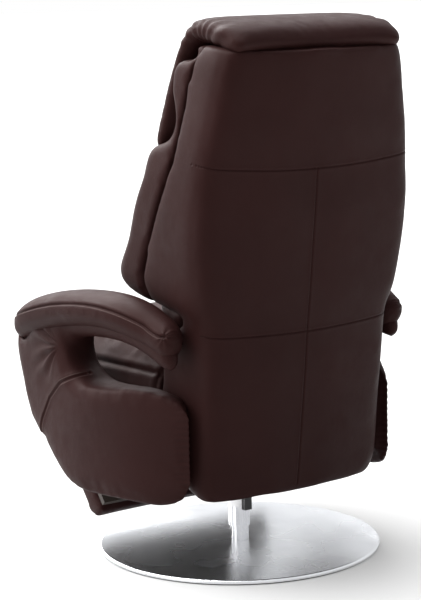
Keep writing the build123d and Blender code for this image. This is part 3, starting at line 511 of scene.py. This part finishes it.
def dress_cad_nodes():
    for row in frame["record"]["subparts"]:
        mesh = frame["nodes"][row["node"]].data
        mesh.materials.clear()
        mesh.materials.append(SLOT_MATERIALS[row["material_slot"]])


def finish_soft(piece, body, fill, *nodes):
    piece.data.materials.clear()
    piece.data.materials.append(LEATHER)
    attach(piece, body)
    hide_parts(*nodes)


# ---- the back's rear cover --------------------------------------------------------------------

COVER_NODES = ("back_tail", "back_shell")
COVER_VOXEL = 0.0095
COVER_SWELL = 0.0056
LOWER_SEAM = 0.338
UPPER_SEAM = 0.670
LOWER_SEAM_HALF = 0.23
UPPER_SEAM_HALF = 0.262
LOWER_SMILE = 0.006
UPPER_SMILE = 0.014
CENTRE_SEAM_FOOT = 0.012
# depth, width and shoulder of its seams
COVER_SEAM = (0.0022, 0.0015, 0.0003)
SHELL_RIM = 0.901
RIM_TUCK = 0.7
FOOT_DROP = 0.006
FOOT_END = 0.14
FIELD_FADE = 0.09
FIELD_SWELL = 0.0035
FIELD_WAVE = 0.0012
BEHIND = 0.6

# the cover's side wings, which close the corner between the seat and the back
WING_INNER, WING_OUTER = 0.214, 0.234
WING_CORNERS = ((0.058, 0.325), (0.10, 0.21), (0.16, 0.19), (0.16, 0.52), (0.082, 0.50))


def cover_blank():
    # one rounded skin over the tail, the shell and the wings
    wings = [prism(side * WING_INNER, side * WING_OUTER, WING_CORNERS) for side in (1, -1)]
    cover = joined("rear_cover", node_sources(COVER_NODES) + wings)
    remesh(cover, COVER_VOXEL)
    relax(cover, 9)
    subdivide(cover)
    relax(cover, 3)
    push(cover, COVER_SWELL)
    return cover


def settle_ends(cover):
    # the foot hangs a little lower; the top edge tucks in under the head roll
    points = coordinates(cover)
    height = back_heights(points)
    drop = FOOT_DROP * (1 - smoothstep(height, 0.0, FOOT_END))
    drop += RIM_TUCK * np.clip(height - SHELL_RIM, 0, 1)
    set_coordinates(cover, points - np.array(UP) * drop[:, None])


def fill_fields(cover):
    # soft filling: each field between the seams stands out a little
    points = coordinates(cover)
    height = back_heights(points)
    upper = smoothstep(height, UPPER_SEAM, UPPER_SEAM + FIELD_FADE)
    middle = smoothstep(height, LOWER_SEAM, LOWER_SEAM + FIELD_FADE)
    middle *= smoothstep(-height, -UPPER_SEAM, FIELD_FADE - UPPER_SEAM)
    lower = smoothstep(-height, -LOWER_SEAM, FIELD_FADE - LOWER_SEAM)
    centre = smoothstep(np.abs(points[:, 0]), 0.0, FIELD_FADE)
    puff = upper + (middle + lower) * (0.4 + 0.6 * centre)
    rear = smoothstep(normals(cover) @ np.array(REAR), 0.3, 0.9)
    push(cover, rear * (FIELD_SWELL * puff + FIELD_WAVE * noise_values(points, 9.0, 1)))


def rear_seam(piece, height, half_width, smile):
    # a seam across the rear panel, its ends a little higher than its middle
    origins = [
        back_spot(x, BEHIND, height + smile * (x / half_width) ** 2)
        for x in span(-half_width, half_width, 260)
    ]
    return cast_line(piece, origins, -REAR)


def make_rear_cover():
    cover = cover_blank()
    settle_ends(cover)
    fill_fields(cover)
    heights = span(CENTRE_SEAM_FOOT, UPPER_SEAM, 420)
    lines = [
        rear_seam(cover, UPPER_SEAM, UPPER_SEAM_HALF, UPPER_SMILE),
        rear_seam(cover, LOWER_SEAM, LOWER_SEAM_HALF, LOWER_SMILE),
        cast_line(cover, [back_spot(0, BEHIND, h) for h in heights], -REAR),
    ]
    for reach in (0.012, 0.006):
        refine(cover, lines, reach)
    for line in lines:
        carve(cover, line, *COVER_SEAM)
    finish_soft(cover, "back", 0.8, *COVER_NODES)


# ---- the back's front padding -----------------------------------------------------------------

BACK_VOXEL = 0.0075
BACK_SWELL = 0.006
BACK_SINK = 0.002
LUMBAR_SWELL = 0.007
LUMBAR_FADE = (0.14, 0.26)
BACK_SEAM = (0.0065, 0.0055, 0.0015)
BAR_HALF = 0.17
UPPER_BAR_SHARE = 0.45
SIDE_SEAM_X = 0.172
SIDE_SEAM_TAPER = 0.04
SIDE_SEAM_BELOW = 0.12
AHEAD = 0.8


def back_seams(cushion):
    # two channels across, and one up each side that leans inwards
    lower, upper = back_height("lumbar_cushion", 1), back_height("head_plate", 0)
    lines = []
    for bar in (lower, lower + (upper - lower) * UPPER_BAR_SHARE):
        origins = [back_spot(x, -AHEAD, bar) for x in span(-BAR_HALF, BAR_HALF, 240)]
        lines.append(cast_line(cushion, origins, REAR))
    for side in (-1, 1):
        origins = [
            back_spot(side * (SIDE_SEAM_X - SIDE_SEAM_TAPER * (h - lower)), -AHEAD, h)
            for h in span(lower - SIDE_SEAM_BELOW, upper, 220)
        ]
        lines.append(cast_line(cushion, origins, REAR))
    return lines


def make_back_cushion():
    nodes = ("back_cushion", "lumbar_cushion")
    cushion = joined("back_padding", node_sources(nodes))
    remesh(cushion, BACK_VOXEL)
    relax(cushion, 4)
    facing = -(normals(cushion) @ np.array(REAR))
    inflate(cushion, BACK_SWELL, np.clip(0.25 + smoothstep(facing, -0.2, 0.6), 0, 1))
    relax(cushion, 1)
    height = back_heights(coordinates(cushion))
    start, end = [height.min() + rise for rise in LUMBAR_FADE]
    push(cushion, LUMBAR_SWELL * (1 - smoothstep(height, start, end)) - BACK_SINK)
    subdivide(cushion)
    for line in back_seams(cushion):
        carve(cushion, line, *BACK_SEAM)
    finish_soft(cushion, "back", 0.75, *nodes)


# ---- the head pad -----------------------------------------------------------------------------

# side view of the head pad, from its lower front edge over the top to its seam behind: for its
# outer and its inner face, rearward and height measured from the roll's centre; and half width
HEAD_PROFILE = (
    ((-0.110, -0.246), (-0.094, -0.242), 0.232),
    ((-0.123, -0.226), (-0.088, -0.220), 0.238),
    ((-0.127, -0.150), (-0.088, -0.150), 0.224),
    ((-0.124, -0.084), (-0.086, -0.088), 0.211),
    ((-0.112, -0.030), (-0.082, -0.048), 0.203),
    ((-0.092, 0.003), (-0.068, -0.028), 0.200),
    ((-0.058, 0.020), (-0.046, -0.022), 0.201),
    ((-0.005, 0.025), (-0.005, -0.024), 0.208),
    ((0.046, 0.023), (0.030, -0.028), 0.212),
    ((0.084, 0.013), (0.058, -0.034), 0.208),
    ((0.102, -0.008), (0.082, -0.038), 0.199),
)
HEAD_STEPS = 110
HEAD_RING = 72
# exponents that square off its cross-section, across and through
SQUARE_ENDS = 0.24
SQUARE_FACES = 0.62
HEAD_VOXEL = 0.005
HEAD_SWELL = 0.004
GATHER_DEPTH = 0.0014
GATHER_COUNT = 19


def spread_profile(rows, steps):
    # smooth in-between values along a profile, by Catmull-Rom
    values = np.array([[*outer, *inner, width] for outer, inner, width in rows])
    padded_rows = np.vstack([2 * values[0] - values[1], values, 2 * values[-1] - values[-2]])
    spread = []
    for at in np.linspace(0, len(values) - 1, steps):
        i = min(int(at), len(values) - 2)
        t = at - i
        p0, p1, p2, p3 = padded_rows[i:i + 4]
        spread.append(0.5 * (2 * p1 + (p2 - p0) * t + (2 * p0 - 5 * p1 + 4 * p2 - p3) * t * t
                             + (3 * p1 - p0 - 3 * p2 + p3) * t ** 3))
    return np.array(spread)


def power(value, exponent):
    return math.copysign(abs(value) ** exponent, value)


def head_blank(depth, height):
    # a squared-off ring swept along the profile, closed at both ends
    points, faces = [], []
    for row, values in enumerate(spread_profile(HEAD_PROFILE, HEAD_STEPS)):
        outer, inner, width = values[0:2], values[2:4], values[4]
        middle, half = (outer + inner) / 2, (outer - inner) / 2
        this, last = row * HEAD_RING, (row - 1) * HEAD_RING
        for step in range(HEAD_RING):
            angle = 2 * math.pi * step / HEAD_RING
            across = width * power(math.cos(angle), SQUARE_ENDS)
            spot = middle + half * power(math.sin(angle), SQUARE_FACES)
            points.append(back_spot(across, depth + spot[0], height + spot[1]))
            if row:
                after = (step + 1) % HEAD_RING
                faces.append((this + step, this + after, last + after, last + step))
    faces.append(tuple(range(HEAD_RING)))
    faces.append(tuple(reversed(range(len(points) - HEAD_RING, len(points)))))
    mesh = bpy.data.meshes.new("head_pad")
    mesh.from_pydata(points, [], faces)
    return new_piece("head_pad", mesh)


def gather_ends(pad, depth, height):
    # small gathers where the cover turns round the ends of the roll
    points = coordinates(pad)
    rise = back_heights(points) - height
    ends = smoothstep(np.abs(points[:, 0]), 0.16, 0.195) * smoothstep(rise, -0.06, -0.01)
    turn = np.arctan2(rise + 0.06, back_depths(points) - depth + 0.03)
    fold = np.sin(turn * GATHER_COUNT + 2.2 * noise_values(points, 14.0, 3))
    push(pad, GATHER_DEPTH * ends * fold)


def make_head_pad():
    # one padded flap: down the front, over the top of the back, and a roll behind
    low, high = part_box("head_roll")
    centre = (low + high) / 2
    height, depth = (centre - BACK_FOOT).dot(UP), (centre - BACK_FOOT).dot(REAR)
    pad = head_blank(depth, height)
    remesh(pad, HEAD_VOXEL)
    relax(pad, 3)
    inflate(pad, HEAD_SWELL)
    relax(pad, 1)
    subdivide(pad)
    gather_ends(pad, depth, height)
    finish_soft(pad, "head", 0.6, "head_cushion", "head_roll")


# ---- seat and footrest ------------------------------------------------------------------------

SEAT_VOXEL = 0.008
SEAT_SWELL = 0.016
SEAT_CROWN = 0.006
SEAT_WAVE = 0.0015
SEAT_SEAM = (0.004, 0.0042, 0.0012)
WELT_RISE = 0.068
WELT_SLOPE = 0.02
FRONT_SEAM_HALF = 0.238
SHORT_SEAM_SHARE = 0.62
TOP_SEAM_X = 0.145


def seat_seams(cushion):
    # a welt round the sides and the front, a short seam below it, and two seams on top
    low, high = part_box("seat_cushion")
    welt = low.z + WELT_RISE
    lines = []
    for side in (-1, 1):
        sides = [(side, y, welt + WELT_SLOPE * y) for y in span(low.y + 0.02, high.y - 0.02, 300)]
        lines.append(cast_line(cushion, sides, (-side, 0, 0)))
        short = [(side, SHORT_SEAM_SHARE * high.y, z) for z in span(low.z + 0.01, welt, 40)]
        lines.append(cast_line(cushion, short, (-side, 0, 0)))
        top = [(side * TOP_SEAM_X, y, 1) for y in span(low.y + 0.012, high.y - 0.01, 300)]
        lines.append(cast_line(cushion, top, (0, 0, -1)))
    front = [
        (x, low.y - 0.5, welt - 0.01) for x in span(-FRONT_SEAM_HALF, FRONT_SEAM_HALF, 260)
    ]
    lines.append(cast_line(cushion, front, (0, 1, 0)))
    return lines


def crown_seat(cushion):
    # a low dome over the sitting face, with a slight unevenness
    low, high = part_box("seat_cushion")
    points = coordinates(cushion)
    along = (points[:, 1] - low.y) / (high.y - low.y)
    across = np.abs(points[:, 0]) / high.x
    crown = np.clip(1 - across ** 4, 0, 1) * np.clip(1 - (2 * along - 1) ** 4, 0, 1)
    upward = smoothstep(normals(cushion)[:, 2], 0.3, 0.9)
    push(cushion, upward * (SEAT_CROWN * crown + SEAT_WAVE * noise_values(points, 12.0, 5)))


def make_seat_cushion():
    cushion = joined("seat_padding", node_sources(["seat_cushion"]))
    remesh(cushion, SEAT_VOXEL)
    relax(cushion, 8)
    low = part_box("seat_cushion")[0]
    inflate(cushion, SEAT_SWELL, smoothstep(coordinates(cushion)[:, 2], low.z + 0.02, low.z + 0.07))
    relax(cushion, 2)
    subdivide(cushion)
    crown_seat(cushion)
    for line in seat_seams(cushion):
        carve(cushion, line, *SEAT_SEAM)
    finish_soft(cushion, "seat", 0.7, "seat_cushion")


FOOTREST_VOXEL = 0.006
FOOTREST_SWELL = 0.005
FOOTREST_PUSH = 0.003
FOOTREST_SAG = 0.009
FOOTREST_JUT = 0.006


def make_footrest_pad():
    pad = joined("footrest_padding", node_sources(["footrest_pad"]))
    remesh(pad, FOOTREST_VOXEL)
    relax(pad, 4)
    # its lower part hangs a little lower and further forward
    low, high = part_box("footrest_pad")
    points = coordinates(pad)
    lower = 1 - smoothstep(points[:, 2], low.z, low.z + 0.6 * (high.z - low.z))
    points[:, 2] -= FOOTREST_SAG * lower
    points[:, 1] -= FOOTREST_JUT * lower
    set_coordinates(pad, points)
    inflate(pad, FOOTREST_SWELL)
    push(pad, FOOTREST_PUSH)
    relax(pad, 1)
    subdivide(pad)
    finish_soft(pad, "footrest", 0.65, "footrest_pad")


# ---- arm pads ---------------------------------------------------------------------------------

PAD_VOXEL = 0.0055
PAD_SWELL = 0.003
PAD_SINK = 0.003
PAD_SEAM = (0.0032, 0.0022, 0.0006)
PAD_SEAM_RISE = 0.014
# the slant of its rear end: backwards per metre up and per metre outwards, less a set-back
END_SLANT = 0.45
END_SKEW = 0.22
END_PULL = 0.014
PUCKER_DEPTH = 0.0009
PUCKER_REACH = 0.026
PUCKER_COUNT = 9


def slant_rear_end(pad, side, low, high):
    points = coordinates(pad)
    tip = smoothstep(points[:, 1], high.y - 0.07, high.y)
    end_low = points[points[:, 1] > high.y - 0.03][:, 2].min()
    outwards = side * points[:, 0] - abs(high.x + low.x) / 2
    points[:, 1] += tip * (END_SLANT * (points[:, 2] - end_low) + END_SKEW * outwards - END_PULL)
    points[:, 2] -= PAD_SINK
    set_coordinates(pad, points)


def pad_middle(points, y):
    near = points[np.abs(points[:, 1] - y) < 0.008]
    return (near[:, 2].min() + near[:, 2].max()) / 2


def pad_seam(pad, side, low, high):
    # along the outer side, a little above the pad's middle
    points = coordinates(pad)
    stops = span(low.y + 0.012, high.y - 0.016, 40)
    rows = span(stops[0], stops[-1], 300)
    heights = np.interp(rows, stops, [pad_middle(points, y) for y in stops])
    origins = [(side, y, z + PAD_SEAM_RISE) for y, z in zip(rows, heights)]
    return cast_line(pad, origins, (-side, 0, 0))


def pucker(pad, end):
    # short puckers where the seam runs out at the rear end
    offset = coordinates(pad) - np.array(end)
    reach = np.linalg.norm(offset, axis=1)
    turn = np.arctan2(offset[:, 2], offset[:, 1])
    fade = np.exp(-((reach / PUCKER_REACH) ** 2))
    push(pad, PUCKER_DEPTH * fade * np.sin(PUCKER_COUNT * turn + 1.0))


def make_arm_pad(side, word):
    node = "arm_pad_" + word
    low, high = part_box(node)
    pad = joined("arm_cushion_" + word, node_sources([node]))
    remesh(pad, PAD_VOXEL)
    relax(pad, 4)
    inflate(pad, PAD_SWELL)
    relax(pad, 1)
    subdivide(pad)
    slant_rear_end(pad, side, low, high)
    seam = pad_seam(pad, side, low, high)
    refine(pad, [seam], 0.01)
    carve(pad, seam, *PAD_SEAM)
    pucker(pad, seam[-1][0])
    finish_soft(pad, "seat", 0.75, node)
    return pad, seam


# ---- arm bodies -------------------------------------------------------------------------------

RAIL_DROP = 0.024
RAIL_INSET = 0.012
RAIL_SLIM = 0.66
RAIL_SHORT = 0.94


def under_rail(side, word):
    # the covered rail that carries the pad: the pad's own shape, slimmer and lower
    low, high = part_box("arm_pad_" + word)
    middle = Vector(((low.x + high.x) / 2 - side * RAIL_INSET, 0, 0))
    lower = Matrix.Translation(middle + Vector((0, 0, -RAIL_DROP)))
    slim = Matrix.Diagonal((RAIL_SLIM, RAIL_SHORT, 1, 1))
    return frame["nodes"]["arm_pad_" + word].data, lower @ slim @ Matrix.Translation(-middle)


# the upholstery that rounds the front corner of the arm opening
POST_INNER = 0.262
POST_INSET = 0.020
POST_CORNERS = (
    (-0.20, 0.36), (-0.075, 0.392), (-0.125, 0.425), (-0.138, 0.455),
    (-0.132, 0.485), (-0.09, 0.512), (-0.21, 0.52),
)


def post_filler(side, word):
    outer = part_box("arm_post_" + word)[1 if side > 0 else 0].x - side * POST_INSET
    return prism(outer, side * POST_INNER, POST_CORNERS)


BODY_VOXEL = 0.006
BODY_SWELL = 0.004
BODY_SEAM = (0.0032, 0.0024, 0.0008)
PANEL_SEAM = ((-0.243, 0.238), (-0.219, 0.288), (-0.183, 0.338), (-0.139, 0.376), (-0.092, 0.398))
# the arm opening's front corner, as y and z: where it is rounded, and where its folds start
CORNER_Y, CORNER_Z = -0.10, 0.42
FAN_CENTRE = (-0.145, 0.455)
FAN_DEPTH = 0.0034
FAN_COUNT = 15
GATHERS_DEPTH = 0.0008
GATHERS_PER_METRE = 480
CHIN_SPREAD = 0.0049


def round_corner(body):
    points = coordinates(body)
    along, up = points[:, 1] - CORNER_Y, points[:, 2] - CORNER_Z
    relax(body, 22, np.exp(-(along ** 2 / 0.006 + up ** 2 / 0.0035)))


def round_chin(body, panel_low):
    # the panel's lower front corner is rounded back
    points = coordinates(body)
    along, up = points[:, 1] + 0.20, points[:, 2] - panel_low.z - 0.06
    chin = np.exp(-(along ** 2 + up ** 2) / CHIN_SPREAD)
    points[:, 1] += 0.009 * chin
    points[:, 2] += 0.004 * chin
    set_coordinates(body, points)


def fold_body(body, side, panel_high):
    points = coordinates(body)
    # folds fanning out from the front corner of the opening, over the post
    offset = points[:, 1:] - np.array(FAN_CENTRE)
    reach = np.linalg.norm(offset, axis=1)
    turn = np.arctan2(offset[:, 1], -offset[:, 0])
    fan = smoothstep(reach, 0.0, 0.03) * (1 - smoothstep(reach, 0.05, 0.15))
    fan *= 1 - smoothstep(np.abs(turn + 0.25), 0.5, 1.1)
    folds = np.sin(turn * FAN_COUNT + 2.6 * noise_values(points, 16.0, 7))
    outward = smoothstep(side * normals(body)[:, 0], 0.0, 0.5)
    # small cross folds down the panel's rear edge
    edge = smoothstep(points[:, 1], panel_high.y - 0.045, panel_high.y - 0.012)
    edge *= points[:, 2] < panel_high.z - 0.03
    gathers = np.sin(points[:, 2] * GATHERS_PER_METRE + 5 * noise_values(points, 11.0, 9))
    push(body, FAN_DEPTH * fan * folds * outward + GATHERS_DEPTH * edge * gathers)


def panel_seam(body, side):
    stops = range(len(PANEL_SEAM))
    rows = span(stops[0], stops[-1], 260)
    along, up = [np.interp(rows, stops, values) for values in zip(*PANEL_SEAM)]
    return cast_line(body, [(side, y, z) for y, z in zip(along, up)], (-side, 0, 0))


def make_arm_body(side, word):
    nodes = ("side_panel_" + word, "arm_post_" + word, "arm_frame_" + word)
    sources = node_sources(nodes) + [under_rail(side, word), post_filler(side, word)]
    body = joined("arm_body_" + word, sources)
    remesh(body, BODY_VOXEL)
    relax(body, 6)
    round_corner(body)
    inflate(body, BODY_SWELL)
    relax(body, 1)
    subdivide(body)
    panel_low, panel_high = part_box("side_panel_" + word)
    round_chin(body, panel_low)
    fold_body(body, side, panel_high)
    seam = panel_seam(body, side)
    refine(body, [seam], 0.01)
    carve(body, seam, *BODY_SEAM)
    finish_soft(body, "seat", 0.7, *nodes)
    return body, seam


# ---- stage ------------------------------------------------------------------------------------

FLOOR_HALF = 60.0


def make_floor():
    corners = [(-1, -1), (1, -1), (1, 1), (-1, 1)]
    mesh = bpy.data.meshes.new("floor")
    mesh.from_pydata([(x * FLOOR_HALF, y * FLOOR_HALF, 0) for x, y in corners], [], [(0, 1, 2, 3)])
    floor = new_piece("floor", mesh)
    m = Nodes("pale_floor")
    m.feed(m.ramp(m.noise(1.2, 2.0), (0.2, grey(0.44)), (0.8, grey(0.46))), "Base Color")
    m.set(Roughness=0.7, Specular_IOR_Level=0.1)
    m.set(Emission_Color=(1, 1, 1, 1), Emission_Strength=0.30)
    mesh.materials.append(m.material)


def place_object(name, data):
    item = bpy.data.objects.new(name, data)
    bpy.context.scene.collection.objects.link(item)
    return item


def aim(item, direction):
    item.rotation_euler = Vector(direction).to_track_quat("-Z", "Y").to_euler()


SUN_STRENGTH = 10.5
SUN_ANGLE = math.radians(80)
SUN_TRAVEL = (-0.20, 0.62, -0.9)
BOX_PLACE = Vector((2.6, 0.2, 1.3))
BOX_TARGET = Vector((0, 0, 0.6))
BOX_SIZE = (1.4, 2.2)
BOX_POWER = 14
SKY_STRENGTH = 0.10


def make_lights():
    # a wide soft sun from high up ahead of the chair, and a weak box at the chair's left
    sun = bpy.data.lights.new("soft_key", "SUN")
    sun.energy = SUN_STRENGTH
    sun.angle = SUN_ANGLE
    aim(place_object("soft_key", sun), SUN_TRAVEL)
    box = bpy.data.lights.new("side_box", "AREA")
    box.shape = "RECTANGLE"
    box.size, box.size_y = BOX_SIZE
    box.energy = BOX_POWER
    light = place_object("side_box", box)
    light.location = BOX_PLACE
    aim(light, BOX_TARGET - BOX_PLACE)


def make_world():
    # weak light from all round, but white where the camera or a reflection meets it
    world = bpy.data.worlds.new("studio")
    bpy.context.scene.world = world
    world.use_nodes = True
    nodes, links = world.node_tree.nodes, world.node_tree.links
    shown = nodes["Background"]
    shown.inputs["Color"].default_value = (1, 1, 1, 1)
    shown.inputs["Strength"].default_value = SKY_STRENGTH
    path = nodes.new("ShaderNodeLightPath")
    for test, color in (("Is Glossy Ray", (0.97, 0.98, 1, 1)), ("Is Camera Ray", (1, 1, 1, 1))):
        other = nodes.new("ShaderNodeBackground")
        other.inputs["Strength"].default_value = 1.0
        other.inputs["Color"].default_value = color
        mix = nodes.new("ShaderNodeMixShader")
        links.new(path.outputs[test], mix.inputs["Fac"])
        links.new(shown.outputs[0], mix.inputs[1])
        links.new(other.outputs[0], mix.inputs[2])
        shown = mix
    links.new(shown.outputs[0], nodes["World Output"].inputs["Surface"])


CAMERA_PLACE = (2.339, 3.301, 1.198)
CAMERA_RIGHT = Vector((-0.821, 0.571, -0.021)).normalized()
CAMERA_BACKWARD = Vector((0.560, 0.812, 0.163)).normalized()
CAMERA_LENS = 117.0
SENSOR_WIDTH = 36.0


def make_camera():
    data = bpy.data.cameras.new("camera")
    data.lens = CAMERA_LENS
    data.sensor_width = SENSOR_WIDTH
    camera = place_object("camera", data)
    up = CAMERA_BACKWARD.cross(CAMERA_RIGHT).normalized()
    right = up.cross(CAMERA_BACKWARD)
    rotation = Matrix((right, up, CAMERA_BACKWARD)).transposed()
    camera.matrix_world = Matrix.Translation(CAMERA_PLACE) @ rotation.to_4x4()
    bpy.context.scene.camera = camera


make_camera()
make_lights()
make_world()
make_floor()
bpy.context.scene.view_settings.view_transform = "Standard"

dress_cad_nodes()
make_rear_cover()
make_back_cushion()
make_head_pad()
make_seat_cushion()
make_footrest_pad()
thread_rows = []
for side, word in ((1, "left"), (-1, "right")):
    pad, seam = make_arm_pad(side, word)
    thread_rows.append(shifted_line(pad, seam, side * BELOW_PAD_SEAM))
    body, seam = make_arm_body(side, word)
    thread_rows += [shifted_line(body, seam, gap) for gap in (BESIDE_PANEL_SEAM, -BESIDE_PANEL_SEAM)]
stitches("arm_thread", thread_rows, "seat")
